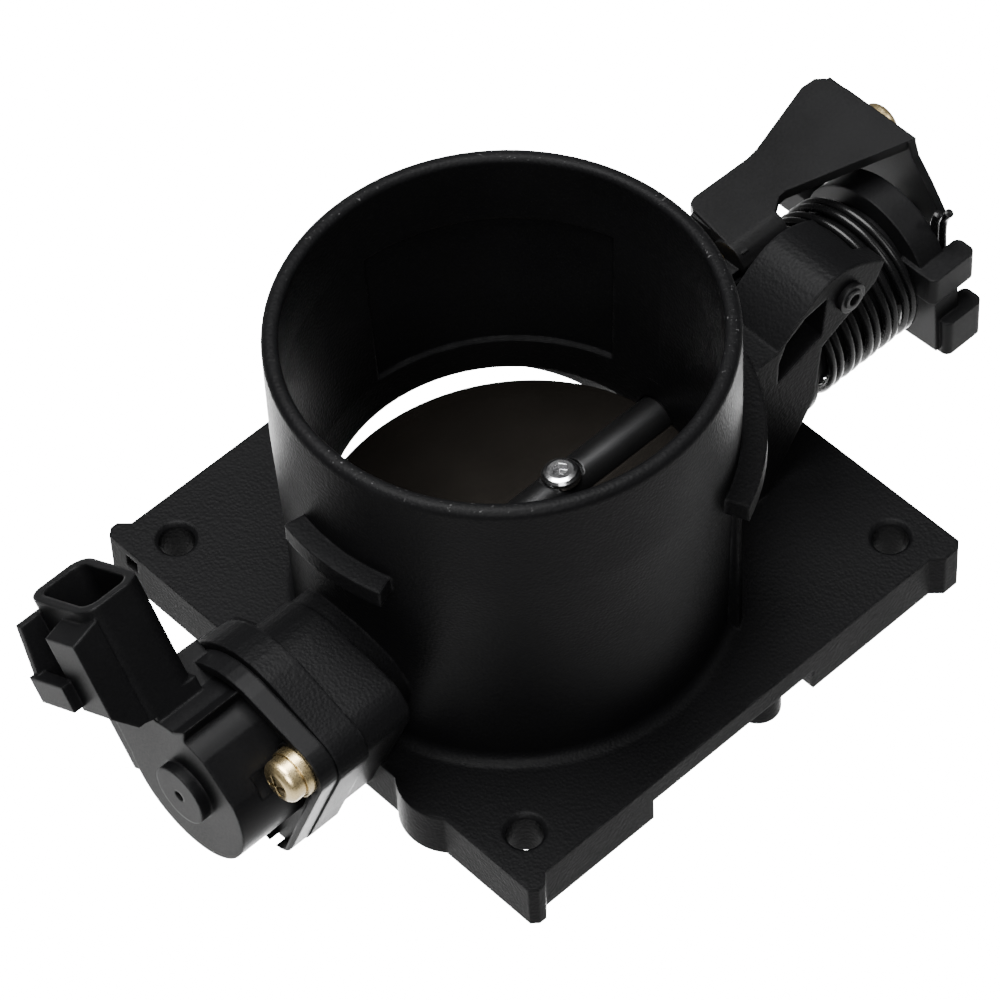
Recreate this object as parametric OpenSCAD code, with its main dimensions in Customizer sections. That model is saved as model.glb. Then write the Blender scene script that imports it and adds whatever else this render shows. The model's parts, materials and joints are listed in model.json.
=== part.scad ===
// Cable-operated throttle body with a rotary position sensor.
// The origin is the centre of the four flange holes on the mounting face, +Z runs up the inlet bore
// and +X points along the throttle shaft to the lever side.

/* [Flange] */
// Length of the square mounting flange along X
flange_x = 113; // [108:0.5:118]
// Length of the mounting flange along Y
flange_y = 114; // [108:0.5:118]
// Thickness of the mounting flange
flange_t = 10.8; // [9:0.2:13]
// Distance between flange holes, along X and along Y
hole_pitch = 96; // [94:0.5:98]
// Diameter of the flange holes
hole_d = 7; // [6:0.1:8]

/* [Inlet] */
// Height of the inlet rim above the mounting face
rim_z = 85.7; // [80:0.1:92]
// Outer diameter of the inlet spigot
spigot_d = 86; // [84:0.5:88]
// Bore diameter at the throttle plate
bore_d = 76; // [74:0.2:77]
// Offset of the bore axis from the flange centre, along X
bore_x = -9.6; // [-11:0.1:-8]
// Offset of the bore axis from the flange centre, along Y
bore_y = -5.3; // [-7:0.1:-4]

/* [Throttle] */
// Height of the shaft axis above the mounting face
shaft_z = 27; // [26:0.1:29]
// Diameter of the throttle shaft
shaft_d = 9; // [8:0.1:9.4]
// Angle of the closed throttle plate from level
closed_angle = 7; // [5:0.5:9]
// Thickness of the throttle plate
plate_t = 2; // [1.6:0.1:2.4]

/* [Lever side] */
// Outer diameter of the return springs
spring_d = 32; // [30:0.5:33]
// Diameter of the spring wire
wire_d = 1.8; // [1.4:0.1:2]
// Radius of the cable drum
drum_r = 16; // [15:0.5:17]

/* [Hidden] */
$fn = 96;
fit = 0.02;
gap = 0.3;
bore_r = bore_d / 2;
rim_r = spigot_d / 2;
rim_wall = 3.2;
foot_r = 41.4;
shaft_r = shaft_d / 2;
plate_r = bore_r - 0.1;

// Passage from the bore to the outlet, swept towards the far corner
sweep_angle = 56;
sweep_r = 32;
sweep_far = 31;
sweep_top = 30.4;
casing_wall = 3.2;

// Pad under the foot of the cable bracket, and its screw
pad_top = 43.8;
foot_screw_x = 58.4;
foot_screw_y = 8;

// Places along the shaft, measured from the bore axis
sensor_face = -64;
sensor_flange_t = 4.2;
screw_seat = sensor_face - sensor_flange_t + 0.12;
sensor_front = -81.3;
snout_end = 63;
bearing_len = 12;
bearing_r = 8;
sleeve_start = 64.4;
sleeve_end = 94.6;
drum_end = 101.2;
nut_end = 105.9;
bracket_end = 108;

// Screws that hold the plate, either side of the bore axis
screw_x = 13.3;

// Two sensor screws, each as [angle about the shaft, distance from it]
sensor_screw_places = [[157, 17.8], [-23, 22]];

// Centre of the moulded hub and of the round end of the sensor's body, in the YZ plane of the shaft
hub = [-0.5, -1.8];
body_end = [0.7, -3];

module at_bore() {
    translate([bore_x, bore_y, 0]) children();
}

module on_shaft() {
    translate([bore_x, bore_y, shaft_z]) children();
}

// Solid rod along X
module rod(x0, x1, r) {
    translate([x0, 0, 0]) rotate([0, 90, 0]) cylinder(h = x1 - x0, r = r);
}

// Tube along X
module pipe(x0, x1, r_out, r_in) {
    translate([x0, 0, 0]) rotate([0, 90, 0]) rotate_extrude() {
        translate([r_in, 0]) square([r_out - r_in, x1 - x0]);
    }
}

// Flat outline drawn in the YZ plane, given thickness along X
module across(x0, x1) {
    translate([x0, 0, 0]) rotate([90, 0, 90]) linear_extrude(x1 - x0) children();
}

// Rectangle with round corners, centred
module round_rect(w, h, r) {
    union() {
        square([w - 2 * r, h], center = true);
        square([w, h - 2 * r], center = true);
        for (sx = [-1, 1], sy = [-1, 1]) translate([sx * (w / 2 - r), sy * (h / 2 - r)]) circle(r);
    }
}

// Pan-head screw along -Z, with its seat at z = 0 and a cross recess
module pan_screw(head_d, head_h, shank_d, length) {
    difference() {
        union() {
            rotate_extrude() polygon(concat(
                [[0, 0], [head_d / 2, 0], [head_d / 2, head_h * 0.5]],
                [for (a = [15:15:90]) [head_d * (0.24 + 0.26 * cos(a)), head_h * (0.5 + 0.46 * sin(a))]],
                [[0, head_h]]
            ));
            translate([0, 0, -length]) cylinder(h = length + 0.01, r = shank_d / 2);
        }
        for (a = [0, 90]) rotate([0, 0, a]) {
            translate([-head_d * 0.28, -head_d * 0.05, head_h * 0.4]) {
                cube([head_d * 0.56, head_d * 0.1, head_h]);
            }
        }
    }
}

// ---- Housing ----

module spigot_outside() {
    rotate_extrude() {
        polygon(concat(
            [[0, 0], [foot_r + 2.4, 0]],
            [for (a = [0:15:90]) [foot_r + 2.4 * (1 - sin(a)), flange_t + 2.4 * (1 - cos(a))]],
            [[rim_r, 64], [rim_r, rim_z - 1.6]],
            [for (a = [15:15:90]) [rim_r - 1.6 * (1 - cos(a)), rim_z - 1.6 + 1.6 * sin(a)]],
            [[0, rim_z]]
        ));
    }
}

module spigot_inside() {
    rim_in = rim_r - rim_wall;
    rotate_extrude() {
        polygon(concat(
            [[0, -1], [bore_r, -1], [bore_r, 36], [rim_in, 70], [rim_in, rim_z - 1.2]],
            [for (a = [15:15:90]) [rim_in + 1.2 * (1 - cos(a)), rim_z - 1.2 + 1.2 * sin(a)]],
            [[rim_in + 1.2, rim_z + 1], [0, rim_z + 1]]
        ));
    }
}

// Passage solid: wall 0 gives the air space, a wall gives the casing around it
module swept_passage(wall) {
    rotate([0, 0, sweep_angle]) hull() {
        translate([bore_r - sweep_r - 2, 0, 2]) {
            cylinder(h = sweep_top + wall - 2, r = sweep_r + wall, $fn = 72);
        }
        translate([sweep_far, 0, 2]) cylinder(h = flange_t - 4 + wall, r = sweep_r + wall, $fn = 72);
    }
}

module outlet_hole() {
    rotate([0, 0, sweep_angle]) translate([0, 0, -1]) {
        translate([sweep_far, 0, 0]) cylinder(h = 5, r = sweep_r);
        translate([0, -sweep_r, 0]) cube([sweep_far, 2 * sweep_r, 5]);
    }
}

// Small lug that stands out past the flange edge at a corner
module corner_nib(x, y, sx, sy, long) {
    translate([x, y, 0]) linear_extrude(flange_t) {
        polygon([
            [0, -3 * sy], [0, 0.8 * sy], [-1.4 * sx, 2 * sy], [-long * sx, 2 * sy],
            [-(long + 2) * sx, 0], [-(long + 2) * sx, -3 * sy]
        ]);
    }
}

module flange() {
    half = hole_pitch / 2;
    difference() {
        union() {
            translate([0, 0, flange_t / 2]) linear_extrude(flange_t, center = true) {
                round_rect(flange_x, flange_y, 2.5);
            }
            corner_nib(-flange_x / 2, -flange_y / 2, -1, -1, 3);
            corner_nib(flange_x / 2, -flange_y / 2, 1, -1, 5);
            corner_nib(-flange_x / 2, flange_y / 2, -1, 1, 3);
            corner_nib(flange_x / 2, flange_y / 2, 1, 1, 5);
            translate([-flange_x / 2 + 8, -29, 0]) cylinder(h = flange_t, r = 10.4);
        }
        for (sx = [-1, 1], sy = [-1, 1]) translate([sx * half, sy * half, 0]) {
            translate([0, 0, -1]) cylinder(h = flange_t + 2, r = hole_d / 2);
            translate([0, 0, flange_t - 1]) cylinder(h = 1.2, r1 = hole_d / 2 - 0.2, r2 = hole_d / 2 + 1);
        }
        // Relief under the long front edge, either side of a small foot
        difference() {
            translate([-24, -flange_y / 2 - 1, -1]) cube([42, 8, 6.4]);
            translate([7.9, -flange_y / 2 + 4.7, -2]) cylinder(h = 9, r = 4.5);
        }
        translate([-flange_x / 2 - 1, 50, 6]) cube([3.5, 3.2, 3]);
    }
}

// Raised arc on the outside of the spigot
module ledge(r_out, z0, z1, a0, a1) {
    translate([0, 0, z0]) rotate([0, 0, a0]) rotate_extrude(angle = a1 - a0) {
        translate([foot_r - 1, 0]) square([r_out - foot_r + 1, z1 - z0]);
    }
}

// Place of the spring anchor on the arm
anchor_x = 69.8;
anchor_z = 51.5;
arm_front = -19;
arm_t = 4.5;

// Line along the top of the arm, from its tip back to the spigot
arm_crest = [for (t = [0:0.0625:1])
    let (a = 180 * t)
    [79.6 - 28.4 * t - 1.6 * sin(a) * (1 - t), 53.6 - 3.1 * t + 8.4 * sin(a) * (1 - 0.25 * t)]
];

module arm_outline() {
    polygon(concat([[38, 50.5], [38, 34], [50, 33], [51.6, 36.9], [77.1, 49.4]], arm_crest));
}

// Arched sheet along the top of the arm
module arm_top_outline() {
    polygon(concat(
        [for (i = [2:16]) arm_crest[i]],
        [[37, 50.5], [37, 46.9]],
        [for (i = [16:-1:3]) arm_crest[i] - [i > 13 ? 0 : 0.6, 3.8]]
    ));
}

// Upright slab whose front face stands at y = front
module upright(front, thick) {
    translate([0, front + thick, 0]) rotate([90, 0, 0]) linear_extrude(thick) children();
}

// Cast arm that reaches over the springs and holds the spring anchor
module arm() {
    difference() {
        union() {
            upright(arm_front, arm_t) arm_outline();
            upright(arm_front, 15) arm_top_outline();
            // Web that carries the arm down to the flange
            upright(arm_front, 3.5) {
                polygon([[36, flange_t - 1], [47.3, flange_t - 1], [61, 29], [63, 43], [50, 40], [36, 40]]);
            }
        }
        upright(arm_front - 1, 8) {
            polygon([[64, 55.3], [62.8, 45.8], [51, 41.8], [51.4, 47.3], [53.3, 51.4], [58.4, 54.5]]);
        }
        translate([anchor_x, arm_front + 9, anchor_z]) rotate([90, 0, 0]) cylinder(h = 12, r = 2.2);
    }
}

module sensor_boss_outline(r, lug_r) {
    hull() {
        circle(r, $fn = 48);
        for (s = sensor_screw_places) rotate([0, 0, s[0]]) translate([s[1], 0]) circle(lug_r, $fn = 32);
        translate([-6, 0.2 + lug_r - shaft_z]) circle(lug_r, $fn = 32);
    }
}

// Outline of the sensor's body: a round end that runs straight on into the connector
module sensor_body_outline() {
    difference() {
        union() {
            translate(body_end) circle(15.7);
            polygon([body_end, [16.2, -6.4], [21.4, 2.4], [14, 14], [4.8, 10.4], [-1.1, 15.6]]);
        }
        polygon([[-14.2, 3.4], [-14.2, 20], [3.4, 20]]);
    }
}

module housing_solid() {
    flange();
    at_bore() {
        spigot_outside();
        swept_passage(casing_wall);
        ledge(47, 58, 62, 169, 198);
        ledge(47.5, 51.8, 55.8, -67, -14);
        // Rib under the end of the long ledge
        rotate([0, 0, -58]) translate([38, -1.4, flange_t - 1]) cube([5.6, 2.8, 44]);
        arm();
        // Pad that carries the cable bracket
        translate([34, 2.6, 30]) cube([29.8, 15.4, pad_top - 30]);
    }
    on_shaft() {
        // Sensor side: boss with two screw lugs
        across(sensor_face, -57) sensor_boss_outline(18.6, 6.4);
        across(-58, -45.6) hull() {
            circle(14.8, $fn = 48);
            rotate([0, 0, sensor_screw_places[0][0]]) translate([sensor_screw_places[0][1] - 1, 0]) {
                circle(6, $fn = 32);
            }
            translate([-5, 6.4 - shaft_z]) circle(6, $fn = 32);
        }
        // Web and lug behind the far screw
        across(-57.5, -48) hull() {
            circle(8, $fn = 32);
            rotate([0, 0, sensor_screw_places[1][0]]) translate([sensor_screw_places[1][1], 0]) {
                circle(5.6, $fn = 32);
            }
        }
        rod(-46.6, -34, 14.3);
        // Lever side: bearing snout with a stiffening web
        rod(34, snout_end, 11.4);
        translate([34, -3, -shaft_z + flange_t - 1]) cube([snout_end - 40, 6, shaft_z - flange_t]);
    }
}

module housing() {
    color([0.09, 0.09, 0.1]) difference() {
        union() {
            difference() {
                housing_solid();
                at_bore() {
                    spigot_inside();
                    swept_passage(0);
                    outlet_hole();
                }
            }
            // Bearing bosses stand whole where the passage runs past them
            on_shaft() difference() {
                rod(bore_r - 1.2, snout_end - 2, 10);
                translate([0, 0, -shaft_z]) cylinder(h = rim_z, r = bore_r);
            }
        }
        on_shaft() {
            rod(-bore_r - 12, -bore_r + 4, shaft_r + gap);
            rod(bore_r - 4, bore_r + 12, shaft_r + gap);
            rod(sensor_face - 1, sensor_face + bearing_len + 4, bearing_r + fit);
            rod(snout_end - bearing_len - 4, snout_end + 1, bearing_r + fit);
            // Recess for the sensor's seal ring
            rod(sensor_face - 1, sensor_face + 2.2, 13.2);
            for (s = sensor_screw_places) rotate([s[0], 0, 0]) translate([0, s[1], 0]) {
                rod(sensor_face - 1, sensor_face + 14, 2.1);
            }
        }
        at_bore() {
            // Hole for the bracket's foot screw
            translate([foot_screw_x, foot_screw_y, pad_top - 9]) cylinder(h = 10, r = 2.1);
            // Shallow panel in the wall of the bore
            rotate([0, 0, 16]) rotate_extrude(angle = 71) {
                polygon([[36, 36.6], [bore_r + 1, 36.6], [rim_r - rim_wall + 1, 69.4], [36, 69.4]]);
            }
        }
    }
}

// ---- Throttle ----

module shaft() {
    color([0.2, 0.2, 0.21]) on_shaft() difference() {
        rod(-72, nut_end - 0.2, shaft_r);
        rotate([-closed_angle, 0, 0]) {
            // Slot for the plate
            cube([2 * bore_r + 1, shaft_d + 2, plate_t + 2 * fit], center = true);
            for (x = [-screw_x, screw_x]) translate([x, 0, 0]) {
                // Hole and flat seat for a plate screw
                translate([0, 0, -shaft_d]) cylinder(h = 2 * shaft_d, r = 2.05);
                translate([0, 0, shaft_r - 0.9]) cylinder(h = 3, r = 4.3);
            }
        }
        // Drive flats for the sensor rotor
        for (s = [-1, 1]) translate([-73, s * 4.6 - 1.5, -6]) cube([sensor_face + 2.4 + 73, 3, 12]);
    }
}

module throttle_plate() {
    color([0.34, 0.33, 0.31]) on_shaft() difference() {
        intersection() {
            rotate([-closed_angle, 0, 0]) cube([2 * bore_r, 2 * bore_r + 6, plate_t], center = true);
            translate([0, 0, -12]) cylinder(h = 24, r = plate_r);
        }
        rotate([-closed_angle, 0, 0]) for (x = [-screw_x, screw_x]) {
            translate([x, 0, -shaft_d]) cylinder(h = 2 * shaft_d, r = 2.05);
        }
    }
}

module plate_screws() {
    color([0.75, 0.75, 0.76]) on_shaft() rotate([-closed_angle, 0, 0]) for (x = [-screw_x, screw_x]) {
        translate([x, 0, shaft_r - 0.88]) difference() {
            union() {
                rotate_extrude() {
                    polygon([[0, 0], [3.9, 0], [3.9, 0.6], [3.7, 1.1], [3.2, 1.6], [2.5, 1.9], [0, 1.9]]);
                }
                translate([0, 0, -7]) cylinder(h = 7.01, r = 2);
            }
            translate([0, 0, 0.4]) cylinder(h = 3, r = 1.6, $fn = 6);
        }
    }
}

// ---- Bearings and seals ----

module bearing(x0) {
    color([0.6, 0.55, 0.4]) on_shaft() pipe(x0, x0 + bearing_len, bearing_r - fit, shaft_r + 0.03);
}

module bearing_lever_side() {
    bearing(snout_end - bearing_len - 4);
}

module bearing_sensor_side() {
    bearing(sensor_face + 4);
}

module seal_lever_side() {
    color([0.05, 0.05, 0.05]) on_shaft() {
        pipe(snout_end - 3.8, snout_end - 0.4, bearing_r - fit, shaft_r + 0.03);
    }
}

module seal_sensor_side() {
    color([0.05, 0.05, 0.05]) on_shaft() {
        pipe(sensor_face + 2.3, sensor_face + 3.9, bearing_r - fit, shaft_r + 0.03);
    }
}

// ---- Position sensor ----

connector_tilt = 32;
connector_x = -77.5;
connector_len = 40.7;
socket_floor = 22;

// Connector frame: Z runs up the socket, X along the shaft, origin where the socket leaves the body
module at_connector() {
    on_shaft() translate([connector_x, 7.1, -6.4]) rotate([-connector_tilt, 0, 0]) children();
}

module connector_shroud() {
    translate([0, 0, 16]) linear_extrude(connector_len - 16) round_rect(13.6, 21, 3.6);
    // The rear of the shroud runs on down behind the body's face
    translate([-3.6, -10.5, 0]) cube([10.4, 21, 18]);
    // Wing on the front face, with a slope at its foot
    translate([0, -0.4, 0]) rotate([90, 0, 0]) linear_extrude(9.9) {
        polygon([[-5, 16.4], [-7.4, 16.4], [-11.4, 21], [-11.4, 37], [-5, 38.6]]);
    }
    // Latch guide at the far side, and the bar that joins it to the wing
    translate([0, 10, 0]) rotate([90, 0, 0]) linear_extrude(1.8) {
        polygon([[-5, 22], [-13.4, 22], [-11.2, 37.7], [-5, 37.7]]);
    }
    translate([-13.6, -1.6, 22.2]) cube([2.6, 11.6, 5.6]);
}

// Flange with a raised rim, and a boss round each screw
module sensor_flange() {
    rim = 1.8;
    front = sensor_face - sensor_flange_t;
    difference() {
        across(front, sensor_face - 0.05) sensor_boss_outline(17, 6);
        difference() {
            across(front - 1, front + 2.2) sensor_boss_outline(17 - rim, 6 - rim);
            for (s = sensor_screw_places) rotate([s[0], 0, 0]) translate([0, s[1], 0]) {
                rod(front - 2, front + 4, 5.6);
            }
        }
    }
}

module sensor_housing() {
    color([0.07, 0.07, 0.075]) union() {
        difference() {
            union() {
                on_shaft() {
                    sensor_flange();
                    across(sensor_front, sensor_face - 1) sensor_body_outline();
                    translate([0, hub[0], hub[1]]) rod(sensor_front - 2.4, sensor_front + 1, 6.2);
                    // Nose that centres the sensor in its seat
                    pipe(sensor_face - 1, sensor_face + 1.9, 10.8, 9);
                }
                at_connector() connector_shroud();
            }
            on_shaft() {
                // Space for the rotor and the track
                rod(sensor_front + 2.4, sensor_face + 2, 9);
                translate([0, hub[0], hub[1]]) rod(sensor_front - 3, sensor_front - 1.5, 1.1);
                for (s = sensor_screw_places) rotate([s[0], 0, 0]) translate([0, s[1], 0]) {
                    // Screw hole, with room for the washer and the head in front of it
                    rod(sensor_face - 6, sensor_face + 1, 2.3);
                    rod(-75.4, screw_seat, 5.3);
                }
            }
            // Socket of the connector
            at_connector() translate([0, 0, socket_floor]) {
                linear_extrude(connector_len) round_rect(10, 17.2, 2.6);
            }
        }
        // Tongue inside the socket
        at_connector() translate([0, 0, socket_floor - 0.5]) linear_extrude(12) difference() {
            round_rect(6.4, 12.6, 3);
            round_rect(4.4, 10.6, 2);
        }
    }
}

// Ring that closes the back of the sensor round its rotor
module sensor_cover() {
    color([0.08, 0.08, 0.085]) on_shaft() pipe(sensor_face + 0.3, sensor_face + 1.8, 8.95, 5.7);
}

module sensor_rotor() {
    color([0.85, 0.84, 0.78]) on_shaft() difference() {
        union() {
            rod(-75, sensor_face - 0.4, 7.6);
            rod(-75, sensor_face + 1.9, 5.3);
        }
        intersection() {
            rod(-72.4, sensor_face + 3, shaft_r + 0.03);
            translate([-73, -3.13, -6]) cube([14, 6.26, 12]);
        }
    }
}

module sensor_wiper() {
    color([0.75, 0.6, 0.3]) on_shaft() {
        across(-75.5, -75.02) {
            translate([-2.5, -7]) square([5, 13.6]);
        }
    }
}

module sensor_track() {
    color([0.3, 0.22, 0.14]) on_shaft() pipe(sensor_front + 2.5, sensor_front + 3.9, 8.9, 2);
}

module sensor_terminals() {
    color([0.8, 0.7, 0.4]) at_connector() for (y = [-3.4, 0, 3.4]) {
        translate([-0.3, y - 0.8, socket_floor + 0.02]) cube([0.6, 1.6, 11]);
    }
}

module sensor_o_ring() {
    color([0.05, 0.05, 0.05]) on_shaft() translate([sensor_face + 1.1, 0, 0]) rotate([0, 90, 0]) {
        rotate_extrude() translate([12, 0]) circle(1.05);
    }
}

module at_sensor_screws() {
    on_shaft() for (s = sensor_screw_places) rotate([s[0], 0, 0]) {
        translate([screw_seat, s[1], 0]) rotate([0, -90, 0]) children();
    }
}

module sensor_screws() {
    color([0.8, 0.68, 0.4]) at_sensor_screws() translate([0, 0, 2]) pan_screw(8.7, 3.7, 4, 15);
}

module sensor_washers() {
    color([0.78, 0.68, 0.42]) at_sensor_screws() difference() {
        translate([0, 0, 0.02]) cylinder(h = 1.96, r = 4.9);
        translate([0, 0, -1]) cylinder(h = 4, r = 2.05);
    }
}

// ---- Cam and springs ----

jaw_end = 105.9;

// One cable jaw: an L seen from above
module jaw(x0, y0, z0, z1) {
    round_by = 1.6;
    translate([0, 0, z0]) linear_extrude(z1 - z0) union() {
        translate([x0, y0 + 2]) square([5.4, 8]);
        translate([x0 + round_by, y0]) square([jaw_end - x0 - 2 * round_by, 5]);
        translate([x0 + 1, y0 + round_by]) square([jaw_end - x0 - 1, 5 - 2 * round_by]);
        for (x = [x0 + round_by, jaw_end - round_by], y = [y0 + round_by, y0 + 5 - round_by]) {
            translate([x, y]) circle(round_by, $fn = 32);
        }
    }
}

module cable_cam() {
    color([0.1, 0.1, 0.105]) on_shaft() difference() {
        union() {
            rod(sleeve_end + 0.4, drum_end, drum_r);
            rod(drum_end - 0.1, drum_end + 1.2, 9);
            jaw(94, -18.6, 0.6, 7.4);
            jaw(96, -21, -14, -5);
            across(sleeve_end + 0.4, drum_end) {
                // Flat lobe between the jaws, and the stop lug on the far side of the drum
                polygon([[-14, 6.6], [-18, 6.6], [-19, -13], [-10, -13.6], [-8, 0]]);
                polygon([[12, -4], [24, -4], [25, -2.6], [25, 2], [24, 3], [12, 3]]);
            }
        }
        rod(sleeve_end - 4, sleeve_end + 0.38, 12);
        rod(sleeve_end, drum_end + 2, shaft_r + fit);
    }
}

module spring_sleeve() {
    color([0.13, 0.12, 0.11]) on_shaft() pipe(sleeve_start, sleeve_end + 0.3, 11.6, shaft_r + fit);
}

// Swept wire: points along a coil about the shaft, with a straight leg outwards at each end
function coil_points(x0, x1, r, turns, a0) = [
    for (i = [0:turns * 20])
        let (a = a0 + 360 * turns * i / (turns * 20), x = x0 + (x1 - x0) * i / (turns * 20))
        [x, r * cos(a), r * sin(a)]
];

module wire(points, r) {
    n = len(points);
    sides = 8;
    rings = [for (i = [0:n - 1])
        let (
            t = points[min(i + 1, n - 1)] - points[max(i - 1, 0)],
            d = t / norm(t),
            out = [0, points[i][1], points[i][2]],
            u0 = out - (out * d) * d,
            u = u0 / norm(u0),
            v = cross(d, u)
        )
        [for (k = [0:sides - 1]) points[i] + r * (cos(360 * k / sides) * u + sin(360 * k / sides) * v)]
    ];
    vertices = [for (ring = rings) for (p = ring) p];
    walls = [for (i = [0:n - 2]) for (k = [0:sides - 1])
        let (a = i * sides + k, b = i * sides + (k + 1) % sides)
        [a, b, b + sides, a + sides]
    ];
    first = [for (k = [sides - 1:-1:0]) k];
    last = [for (k = [0:sides - 1]) (n - 1) * sides + k];
    polyhedron(points = vertices, faces = concat(walls, [first, last]), convexity = 8);
}

spring_r = spring_d / 2 - wire_d / 2;

module return_spring_inner() {
    color([0.06, 0.06, 0.06]) on_shaft() wire(coil_points(66.2, 91.4, spring_r, 5, -90), wire_d / 2);
}

module return_spring_outer() {
    color([0.06, 0.06, 0.06]) on_shaft() wire(coil_points(68.2, 93.4, spring_r, 5, -90), wire_d / 2);
}

module spring_anchor() {
    color([0.12, 0.12, 0.12]) at_bore() translate([anchor_x, arm_front + 5, anchor_z]) rotate([90, 0, 0]) {
        difference() {
            union() {
                cylinder(h = 6.6, r = 2.18);
                translate([0, 0, 5.02]) cylinder(h = 1.2, r = 3.2);
            }
            translate([0, 0, 1]) cylinder(h = 8, r = 1.3);
        }
    }
}

module cam_washer() {
    color([0.7, 0.7, 0.68]) on_shaft() pipe(drum_end + 1.22, drum_end + 1.9, 7, shaft_r + fit);
}

module cam_nut() {
    color([0.7, 0.7, 0.68]) on_shaft() difference() {
        translate([drum_end + 1.92, 0, 0]) rotate([0, 90, 0]) cylinder(h = 1.9, r = 7.4, $fn = 6);
        rod(drum_end, nut_end + 1, shaft_r + fit);
    }
}

module thrust_washer() {
    color([0.7, 0.7, 0.68]) on_shaft() pipe(snout_end + 0.3, snout_end + 1.1, 7.4, shaft_r + 0.03);
}

// ---- Cable bracket and stop ----

bracket_t = 2.4;
bracket_top = 50.5;
wall_t = 1.8;
roll_r = 4.2;
shelf_z = 38;
shelf_t = 2.4;
stop_x = 99.5;
stop_y = 20.6;

module cable_bracket() {
    color([0.1, 0.1, 0.1]) at_bore() difference() {
        union() {
            translate([0, 0, bracket_top - bracket_t]) linear_extrude(bracket_t) {
                polygon([
                    [63.6, 6.2], [76, 6.2], [79, 8.2], [81, 8.3], [bracket_end, 0],
                    [bracket_end, 18], [107.6, 20.9], [107, 23.2], [105.4, 24.6], [102, 24.8],
                    [84.5, 19.7], [81.6, 19.3], [67.4, 19.6], [66, 19], [65.2, 17.6]
                ]);
            }
            // Rolled near edge
            intersection() {
                translate([63.4, 6.4, bracket_top - roll_r]) rod(0, 12.4, roll_r);
                translate([60, 0, bracket_top - roll_r - 0.4]) cube([20, 10, roll_r + 1]);
            }
            // Lip that hangs from the rolled edge, just clear of the springs
            translate([63.8, 2.24, 43.7]) cube([11.9, 1.8, bracket_top - roll_r - 43.4]);
            // End wall
            across(bracket_end - wall_t, bracket_end - 0.02) polygon([
                [0.2, bracket_top - 0.2], [23, bracket_top - 0.2], [23.4, shelf_z - 0.6], [16, 36.6],
                [12, 30], [-6, 30], [-8.6, 36], [-4.6, 42], [-1, 46.5]
            ]);
            // Shelf for the stop screw
            translate([96, 17, shelf_z]) cube([bracket_end - 96.6, 6.2, shelf_t]);
            // Joggled foot that is screwed to the pad
            translate([54, 3.4, pad_top + 0.02]) cube([12, 14, 2.2]);
            translate([64.4, 3.4, pad_top + 0.4]) cube([1.6, 14, bracket_top - pad_top - 1.2]);
        }
        translate([foot_screw_x, foot_screw_y, pad_top - 1]) cylinder(h = 5, r = 2.1);
        translate([bracket_end - 4, 11, 45]) rod(0, 6, 2.1);
        translate([stop_x, stop_y, shelf_z - 1]) cylinder(h = 5, r = 2.07);
    }
}

module bracket_foot_screw() {
    color([0.8, 0.68, 0.4]) at_bore() translate([foot_screw_x, foot_screw_y, pad_top + 2.24]) {
        pan_screw(8.6, 3.4, 4, 9);
    }
}

module bracket_end_screw() {
    color([0.8, 0.68, 0.4]) at_bore() translate([bracket_end, 11, 45]) rotate([0, 90, 0]) {
        pan_screw(8.6, 3.4, 4, wall_t);
    }
}

module stop_screw() {
    color([0.7, 0.7, 0.68]) at_bore() translate([stop_x, stop_y, shaft_z + 3.3]) {
        cylinder(h = 16, r = 2.05);
    }
}

module stop_nut() {
    color([0.7, 0.7, 0.68]) at_bore() translate([stop_x, stop_y, shelf_z + shelf_t + 0.02]) difference() {
        cylinder(h = 3, r = 4, $fn = 6);
        translate([0, 0, -1]) cylinder(h = 5, r = 2.07);
    }
}

housing();
shaft();
throttle_plate();
plate_screws();
bearing_lever_side();
bearing_sensor_side();
seal_lever_side();
seal_sensor_side();
sensor_housing();
sensor_cover();
sensor_rotor();
sensor_wiper();
sensor_track();
sensor_terminals();
sensor_o_ring();
sensor_screws();
sensor_washers();
cable_cam();
spring_sleeve();
return_spring_inner();
return_spring_outer();
spring_anchor();
cam_washer();
cam_nut();
thrust_washer();
cable_bracket();
bracket_foot_screw();
bracket_end_screw();
stop_screw();
stop_nut();
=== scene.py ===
"""Looks for a cable-operated throttle body: materials for the CAD nodes, springs, light and camera."""

import json
import math

import bmesh
import bpy
from mathutils import Matrix, Vector


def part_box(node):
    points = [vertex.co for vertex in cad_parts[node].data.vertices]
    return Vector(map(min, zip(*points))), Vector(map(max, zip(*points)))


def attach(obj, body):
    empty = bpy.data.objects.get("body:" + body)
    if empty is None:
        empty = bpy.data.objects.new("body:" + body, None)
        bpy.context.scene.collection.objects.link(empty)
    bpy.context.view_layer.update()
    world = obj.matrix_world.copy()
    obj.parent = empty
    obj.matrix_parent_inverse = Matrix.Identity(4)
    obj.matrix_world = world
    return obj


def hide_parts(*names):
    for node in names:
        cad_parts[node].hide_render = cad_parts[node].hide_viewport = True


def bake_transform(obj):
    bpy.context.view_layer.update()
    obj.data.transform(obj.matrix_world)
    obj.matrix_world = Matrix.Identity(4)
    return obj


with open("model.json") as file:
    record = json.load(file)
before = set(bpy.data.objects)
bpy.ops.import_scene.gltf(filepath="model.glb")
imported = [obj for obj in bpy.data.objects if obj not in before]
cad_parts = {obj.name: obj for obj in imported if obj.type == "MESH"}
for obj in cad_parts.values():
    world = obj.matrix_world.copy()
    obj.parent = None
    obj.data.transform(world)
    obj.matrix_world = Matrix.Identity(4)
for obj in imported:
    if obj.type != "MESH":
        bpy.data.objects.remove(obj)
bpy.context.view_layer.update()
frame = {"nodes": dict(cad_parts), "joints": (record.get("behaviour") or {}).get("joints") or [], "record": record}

MM = 0.001

# The shaft axis, about which the throttle turns
AXIS = Vector(frame["joints"][0]["pos_m"])


# ---- Camera, floor and light ----

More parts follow.
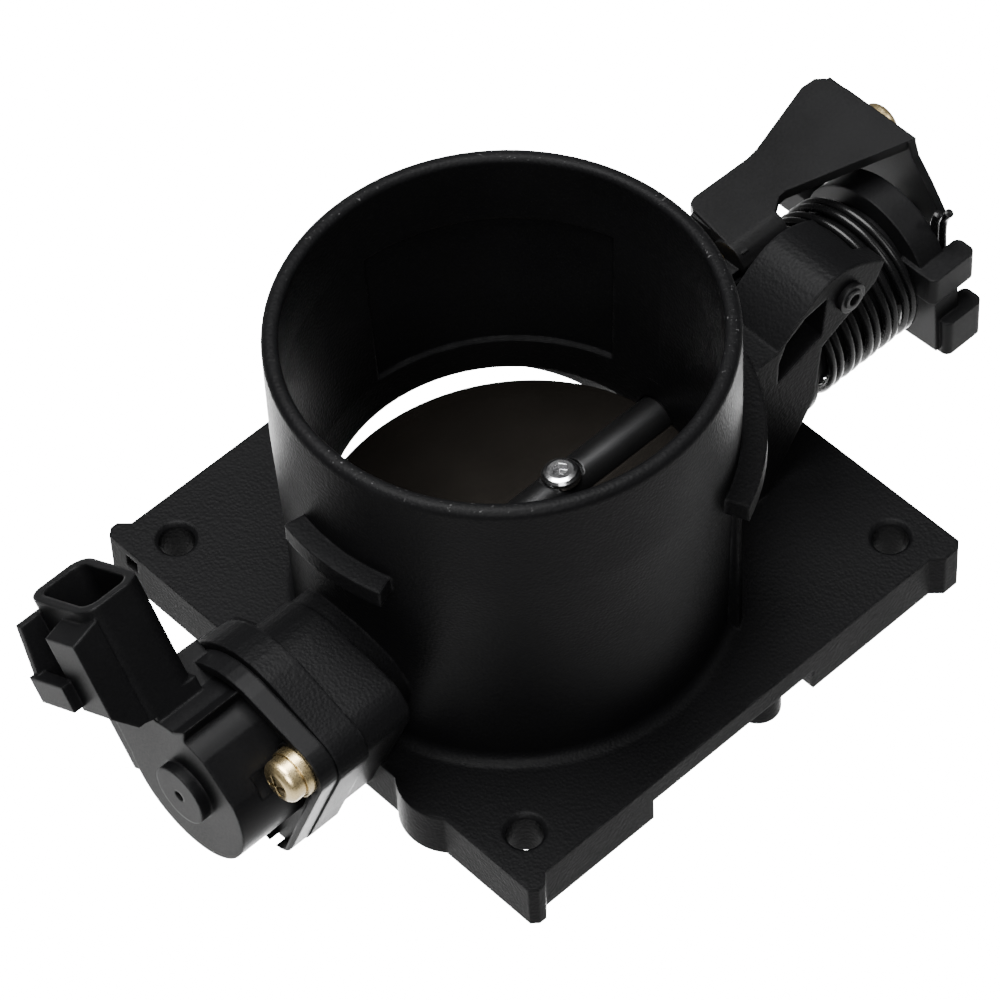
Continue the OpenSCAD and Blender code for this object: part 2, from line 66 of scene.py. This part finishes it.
VIEW_AZIMUTH = math.radians(-41.05)
VIEW_ELEVATION = math.radians(51.548)
VIEW_ROLL = math.radians(-3.273)
VIEW_DISTANCE = 0.9861
AIM = Vector((-12.4, -5.5, 38.4)) * MM
LENS = 192.3


def make_camera():
    back = Vector((
        math.sin(VIEW_AZIMUTH) * math.cos(VIEW_ELEVATION),
        -math.cos(VIEW_AZIMUTH) * math.cos(VIEW_ELEVATION),
        math.sin(VIEW_ELEVATION),
    ))
    level = (-back).cross(Vector((0, 0, 1))).normalized()
    upright = back.cross(level)
    right = math.cos(VIEW_ROLL) * level + math.sin(VIEW_ROLL) * upright
    up = -math.sin(VIEW_ROLL) * level + math.cos(VIEW_ROLL) * upright
    data = bpy.data.cameras.new("camera")
    data.lens = LENS
    data.sensor_width = 36
    data.clip_end = 20
    camera = bpy.data.objects.new("camera", data)
    bpy.context.collection.objects.link(camera)
    place = AIM + VIEW_DISTANCE * back
    camera.matrix_world = Matrix((
        (right.x, up.x, back.x, place.x),
        (right.y, up.y, back.y, place.y),
        (right.z, up.z, back.z, place.z),
        (0, 0, 0, 1),
    ))
    bpy.context.scene.camera = camera


# Softboxes: place in metres, width in metres, power in watts
LIGHTS = {
    "overhead": ((-0.1, 0.25, 1.3), 1.1, 150),
    "front": ((-0.75, -0.85, 1.05), 1.0, 60),
    "left": ((-1.3, 0.1, 0.8), 0.8, 1),
    "right": ((0.9, -0.7, 1.0), 0.6, 7),
}
SKY_STRENGTH = 0.34


def softbox(name, place, size, power):
    data = bpy.data.lights.new(name, "AREA")
    data.shape = "DISK"
    data.size = size
    data.energy = power
    lamp = bpy.data.objects.new(name, data)
    bpy.context.collection.objects.link(lamp)
    lamp.location = place
    lamp.rotation_euler = (AIM - Vector(place)).to_track_quat("-Z", "Y").to_euler()


def make_world(strength):
    world = bpy.data.worlds.new("studio")
    bpy.context.scene.world = world
    world.use_nodes = True
    sky = world.node_tree.nodes["Background"]
    sky.inputs["Color"].default_value = (1, 1, 1, 1)
    sky.inputs["Strength"].default_value = strength


# ---- Mesh and material helpers ----

def new_piece(name, mesh_maker):
    bm = bmesh.new()
    mesh_maker(bm)
    bmesh.ops.recalc_face_normals(bm, faces=bm.faces)
    mesh = bpy.data.meshes.new(name)
    bm.to_mesh(mesh)
    bm.free()
    mesh.shade_smooth()
    mesh.set_sharp_from_angle(angle=math.radians(40))
    piece = bpy.data.objects.new(name, mesh)
    bpy.context.collection.objects.link(piece)
    return piece


class Shader:
    """A material's node tree, with short calls for the nodes that the finishes share."""

    def __init__(self, name):
        self.material = bpy.data.materials.new(name)
        self.material.use_nodes = True
        self.tree = self.material.node_tree
        self.bsdf = self.tree.nodes["Principled BSDF"]
        self.place = self.add("ShaderNodeTexCoord").outputs["Object"]

    def add(self, kind, inputs=(), **settings):
        node = self.tree.nodes.new(kind)
        for key, value in settings.items():
            setattr(node, key, value)
        for key, value in dict(inputs).items():
            self.put(value, node.inputs[key])
        return node

    def put(self, value, socket):
        """Joins a node's output to a socket, or sets the socket's own value."""
        if isinstance(value, bpy.types.NodeSocket):
            self.tree.links.new(value, socket)
        else:
            socket.default_value = value

    def noise(self, size, detail=3.0, stretch=None):
        place = self.place
        if stretch:
            place = self.add("ShaderNodeMapping", {"Vector": place, "Scale": stretch}).outputs["Vector"]
        inputs = {"Vector": place, "Scale": 1 / size, "Detail": detail}
        return self.add("ShaderNodeTexNoise", inputs).outputs["Fac"]

    def cells(self, size):
        """Rounded pebbles, as on a textured coat: 0 at the middle of a pebble."""
        inputs = {"Vector": self.place, "Scale": 1 / size, "Smoothness": 0.6}
        return self.add("ShaderNodeTexVoronoi", inputs, feature="SMOOTH_F1").outputs["Distance"]

    def span(self, value, low, high, to_low=0.0, to_high=1.0):
        inputs = {"Value": value, "From Min": low, "From Max": high, "To Min": to_low, "To Max": to_high}
        return self.add("ShaderNodeMapRange", inputs).outputs["Result"]

    def math(self, operation, a, b):
        return self.add("ShaderNodeMath", {0: a, 1: b}, operation=operation).outputs["Value"]

    def mix(self, factor, a, b):
        return self.add("ShaderNodeMix", {0: factor, 6: a, 7: b}, data_type="RGBA").outputs[2]

    def rounded(self, radius):
        return self.add("ShaderNodeBevel", {"Radius": radius}, samples=4).outputs["Normal"]

    def edges(self, rounded):
        """1 along sharp edges, 0 on flat ground."""
        flat = self.add("ShaderNodeNewGeometry").outputs["Normal"]
        turn = self.add("ShaderNodeVectorMath", {0: rounded, 1: flat}, operation="DOT_PRODUCT")
        return self.span(turn.outputs["Value"], 0.99, 0.8)

    def bump(self, height, distance, strength, normal):
        inputs = {"Height": height, "Distance": distance, "Strength": strength, "Normal": normal}
        return self.add("ShaderNodeBump", inputs).outputs["Normal"]


PATCH_SIZE = 0.028     # broad drift of colour and gloss
SCUFF_SIZE = 0.0035    # broken wear along the edges
CHIP_SIZE = 0.0006     # chips in the coat
CHIP_COLOUR = (0.03, 0.03, 0.03, 1)
CHIP_FADE = 0.0005     # height over which the chips set in


def finish_material(name, base, tint, rough, metallic=0.0, specular=0.5, grain=0.0006, depth=0.00004,
                    pebbled=False, brushed=None, edge_colour=None, round_edge=0.0004, worn_above=None):
    """One finish: colour that varies, grained roughness and bump, and worn or softened edges."""
    s = Shader(name)
    broad = s.noise(PATCH_SIZE, 4.0)
    fine = s.noise(grain, 4.0, brushed)
    colour = s.mix(s.span(broad, 0.35, 0.65), (*base, 1), (*tint, 1))
    colour = s.mix(s.span(fine, 0.35, 0.8, 0.0, 0.35), colour, (*[c * 1.7 for c in tint], 1))
    rounded = s.rounded(round_edge)
    edge = s.math("MULTIPLY", s.edges(rounded), s.span(s.noise(SCUFF_SIZE, 5.0), 0.42, 0.7))
    if edge_colour:
        colour = s.mix(edge, colour, (*edge_colour, 1))
    if worn_above:
        level = s.add("ShaderNodeSeparateXYZ", {"Vector": s.place}).outputs["Z"]
        top = s.span(level, worn_above, worn_above + CHIP_FADE)
        worn = s.math("MULTIPLY", top, s.span(broad, 0.48, 0.62))
        chips = s.math("MULTIPLY", worn, s.span(s.noise(CHIP_SIZE), 0.65, 0.72))
        colour = s.mix(chips, colour, CHIP_COLOUR)
    height = s.cells(grain * 1.6) if pebbled else fine
    height = s.math("ADD", height, s.math("MULTIPLY", s.noise(grain * 3, 3.0), 0.1))
    roughness = s.span(s.math("ADD", fine, broad), 0.7, 1.3, rough - 0.07, rough + 0.08)
    roughness = s.math("SUBTRACT", roughness, s.math("MULTIPLY", edge, 0.15))
    s.put(colour, s.bsdf.inputs["Base Color"])
    s.put(roughness, s.bsdf.inputs["Roughness"])
    s.put(s.bump(height, depth, 0.8, rounded), s.bsdf.inputs["Normal"])
    s.bsdf.inputs["Metallic"].default_value = metallic
    s.bsdf.inputs["Specular IOR Level"].default_value = specular
    return s.material


# ---- Finishes, one for each material slot of the record ----

FINISHES = {
    "cast_black": dict(
        base=(0.0009, 0.0009, 0.00098), tint=(0.0013, 0.0013, 0.0014), rough=0.46, specular=0.02,
        grain=0.0004, depth=0.00007, pebbled=True, edge_colour=(0.005, 0.005, 0.0052), round_edge=0.0009,
        worn_above=0.085),
    "sensor_plastic": dict(
        base=(0.001, 0.001, 0.00108), tint=(0.0014, 0.0014, 0.0015), rough=0.4, specular=0.032,
        grain=0.0004, depth=0.00001, edge_colour=(0.005, 0.005, 0.0052), round_edge=0.0008),
    "cam_plastic": dict(
        base=(0.0011, 0.0011, 0.00118), tint=(0.0015, 0.0015, 0.0016), rough=0.42, specular=0.035,
        grain=0.0005, depth=0.00002, edge_colour=(0.006, 0.006, 0.0062), round_edge=0.0006),
    "shaft_steel": dict(
        base=(0.008, 0.008, 0.0082), tint=(0.012, 0.012, 0.0122), rough=0.34, metallic=0.9, specular=0.1,
        grain=0.0004, depth=0.00001, brushed=(8, 1, 1), edge_colour=(0.05, 0.05, 0.05)),
    "plate_brass": dict(
        base=(0.015, 0.0132, 0.0114), tint=(0.019, 0.0168, 0.0145), rough=0.2, metallic=0.9, specular=0.1,
        grain=0.0005, depth=0.00001, brushed=(1, 7, 1), edge_colour=(0.05, 0.042, 0.032), round_edge=0.0003),
    "bright_steel": dict(
        base=(0.3, 0.3, 0.305), tint=(0.38, 0.38, 0.385), rough=0.2, metallic=1.0, grain=0.0003,
        depth=0.000006, edge_colour=(0.6, 0.6, 0.6), round_edge=0.0002),
    "zinc_steel": dict(
        base=(0.14, 0.14, 0.14), tint=(0.2, 0.2, 0.2), rough=0.36, metallic=1.0, grain=0.0003,
        depth=0.00001, edge_colour=(0.3, 0.3, 0.3), round_edge=0.0002),
    "yellow_zinc": dict(
        base=(0.24, 0.185, 0.09), tint=(0.33, 0.26, 0.14), rough=0.27, metallic=1.0, grain=0.0003,
        depth=0.000003, edge_colour=(0.38, 0.3, 0.17), round_edge=0.0003),
    "bearing_bronze": dict(
        base=(0.22, 0.14, 0.06), tint=(0.28, 0.18, 0.08), rough=0.45, metallic=1.0,
        grain=0.0002, depth=0.00001),
    "seal_rubber": dict(
        base=(0.002, 0.002, 0.002), tint=(0.003, 0.003, 0.003), rough=0.7, specular=0.06, grain=0.0003,
        depth=0.00001),
    "spring_steel": dict(
        base=(0.0008, 0.0008, 0.00085), tint=(0.0013, 0.0013, 0.00135), rough=0.28, specular=0.08,
        grain=0.0003, depth=0.000002, round_edge=0.00005),
    "bracket_black": dict(
        base=(0.0012, 0.0012, 0.00125), tint=(0.0017, 0.0017, 0.0018), rough=0.4, specular=0.05, grain=0.0005,
        depth=0.00002, edge_colour=(0.006, 0.006, 0.0062), round_edge=0.0005),
    "rotor_nylon": dict(
        base=(0.5, 0.49, 0.44), tint=(0.58, 0.57, 0.52), rough=0.5, grain=0.0004, depth=0.00001),
    "contact_brass": dict(
        base=(0.3, 0.22, 0.09), tint=(0.38, 0.28, 0.13), rough=0.3, metallic=1.0,
        grain=0.0002, depth=0.000005),
    "track_board": dict(
        base=(0.06, 0.037, 0.02), tint=(0.08, 0.05, 0.027), rough=0.6, grain=0.0004, depth=0.00001),
}


def dress_nodes(materials):
    slots = {row["node"]: row["material_slot"] for row in frame["record"]["subparts"]}
    for name, node in frame["nodes"].items():
        for place in node.material_slots:
            place.link = "OBJECT"
            place.material = materials[slots[name]]


# ---- Return springs ----

WIRE_R = 0.9 * MM
SPRING_R = 15.1 * MM
SPRING_TURNS = 5
SPRING_START = -90    # degrees from +Y
WIRE_SIDES = 14
TURN_STEPS = 48
RING_STEPS = 72


def around(x, radius, degrees):
    """A point at an angle about the shaft axis: 0 is +Y, 90 is +Z."""
    a = math.radians(degrees)
    return Vector((x, AXIS.y + radius * math.cos(a), AXIS.z + radius * math.sin(a)))


def coil(x0, x1, turns, start):
    steps = int(turns * TURN_STEPS)
    return [
        around(x0 + (x1 - x0) * i / steps, SPRING_R, start + 360 * turns * i / steps)
        for i in range(steps + 1)
    ]


def soften(points, rounds=3):
    """Rounds the corners of a path without moving its ends."""
    for _ in range(rounds):
        points = [points[0]] + [
            p for a, b in zip(points, points[1:]) for p in (a.lerp(b, 0.25), a.lerp(b, 0.75))
        ] + [points[-1]]
    return points


def sweep(bm, points, radius, sides=WIRE_SIDES):
    """Adds a round wire along a path, with domed ends."""
    rings = []
    normal = None
    last = len(points) - 1
    for i, point in enumerate(points):
        along = (points[min(i + 1, last)] - points[max(i - 1, 0)]).normalized()
        if normal is None:
            normal = along.orthogonal().normalized()
        normal = (normal - normal.dot(along) * along).normalized()
        other = along.cross(normal)
        rings.append([
            bm.verts.new(point + radius * (math.cos(t) * normal + math.sin(t) * other))
            for t in (2 * math.pi * k / sides for k in range(sides))
        ])
    for a, b in zip(rings, rings[1:]):
        for k in range(sides):
            bm.faces.new((a[k], a[(k + 1) % sides], b[(k + 1) % sides], b[k]))
    for ring, end, inner in ((rings[0], points[0], points[1]), (rings[-1], points[-1], points[-2])):
        tip = bm.verts.new(end + (end - inner).normalized() * radius * 0.5)
        for k in range(sides):
            bm.faces.new((ring[k], ring[(k + 1) % sides], tip))


def make_spring_ends(materials):
    """The two hooked wire ends that stand up beside the upper cable jaw."""
    cam_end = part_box("cable_cam")[1][0]
    foot = Vector((cam_end - 2.9 * MM, AXIS.y - 11.4 * MM, AXIS.z + 1.5 * MM))

    def hooks(bm):
        for x, height, lean in ((-1.1, 14.5, -0.6), (1.1, 13.6, -1.4)):
            start = foot + Vector((x * MM, 0, 0))
            bend = start + Vector((0, 0.4 * MM, 0.75 * height * MM))
            tip = start + Vector((0, lean * MM, height * MM))
            sweep(bm, soften([start, bend, tip]), WIRE_R)

    piece = new_piece("spring_ends", hooks)
    piece.data.materials.append(materials["spring_steel"])
    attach(piece, "throttle")


def turned_piece(name, body, profile, materials):
    """A moulding turned about the shaft axis; its (x, radius) profile is in mm from the inner spring."""
    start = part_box("return_spring_inner")[0][0]

    def turn(bm):
        rows = [
            [bm.verts.new(around(start + x * MM, radius * MM, 360 * k / RING_STEPS)) for x, radius in profile]
            for k in range(RING_STEPS)
        ]
        for a, b in zip(rows, rows[1:] + rows[:1]):
            for i in range(len(profile)):
                bm.faces.new((a[i - 1], a[i], b[i], b[i - 1]))

    piece = new_piece(name, turn)
    piece.data.materials.append(materials["cam_plastic"])
    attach(piece, body)


def make_spring_supports(materials):
    # A cup on the end of the bearing snout, against which the springs stand
    turned_piece("spring_seat", "housing", (
        (-6.2, 11.3), (-6.2, 12.4), (-6.0, 12.6), (-2.9, 12.6), (-2.7, 16.3), (-2.4, 16.6),
        (-0.6, 16.6), (-0.3, 16.3), (-0.3, 12.2), (-0.6, 11.95), (-2.6, 11.95), (-2.6, 11.3),
    ), materials)
    # A thicker ring on the sleeve, which fills the springs
    turned_piece("spring_core", "throttle", (
        (0.2, 11.5), (0.2, 13.2), (0.7, 13.7), (23.4, 13.7), (23.9, 13.2), (23.9, 11.5),
    ), materials)


def make_springs(materials):
    for node in ("return_spring_inner", "return_spring_outer"):
        low, high = (Vector(c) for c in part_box(node))
        path = coil(low.x + WIRE_R, high.x - WIRE_R, SPRING_TURNS, SPRING_START)
        piece = new_piece(node + "_wire", lambda bm: sweep(bm, path, WIRE_R))
        piece.data.materials.append(materials["spring_steel"])
        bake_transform(piece)
        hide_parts(node)


# ---- Floor ----

FLOOR_Z = -0.5
FLOOR_HALF = 6
PAPER = (0.6, 0.6, 0.6, 1)
PAPER_DRIFT = (0.63, 0.63, 0.63, 1)
# Painted pool of light on the paper: its centre, inner and outer radii in metres, and its emission strength
PAINTED_LIGHT_POOL_CENTRE = (0.27, 0.325, 0)
PAINTED_LIGHT_POOL_INNER = 0.27
PAINTED_LIGHT_POOL_OUTER = 0.4
PAINTED_LIGHT_POOL_STRENGTH = 15.0


def make_floor():
    def grid(bm):
        bmesh.ops.create_grid(bm, x_segments=8, y_segments=8, size=FLOOR_HALF)

    floor = new_piece("studio_floor", grid)
    floor.location.z = FLOOR_Z
    s = Shader("studio_paper_painted_light_pool")
    s.put(s.mix(s.noise(0.9, 2.0), PAPER, PAPER_DRIFT), s.bsdf.inputs["Base Color"])
    s.bsdf.inputs["Roughness"].default_value = 0.9
    s.bsdf.inputs["Specular IOR Level"].default_value = 0.1
    # Painted pool of light: the paper glows softly behind the part, full strength within the inner radius and
    # fading to nothing at the outer one, though no lamp is there
    painted_pool_distance = s.add("ShaderNodeVectorMath", {0: s.place, 1: PAINTED_LIGHT_POOL_CENTRE}, operation="DISTANCE").outputs["Value"]
    s.put(s.span(painted_pool_distance, PAINTED_LIGHT_POOL_INNER, PAINTED_LIGHT_POOL_OUTER, PAINTED_LIGHT_POOL_STRENGTH, 0.0), s.bsdf.inputs["Emission Strength"])
    s.bsdf.inputs["Emission Color"].default_value = (1, 1, 1, 1)
    floor.data.materials.append(s.material)


materials = {name: finish_material(name, **look) for name, look in FINISHES.items()}
dress_nodes(materials)
make_springs(materials)
make_spring_ends(materials)
make_spring_supports(materials)
make_floor()
make_world(SKY_STRENGTH)
for name, light in LIGHTS.items():
    softbox(name, *light)
make_camera()
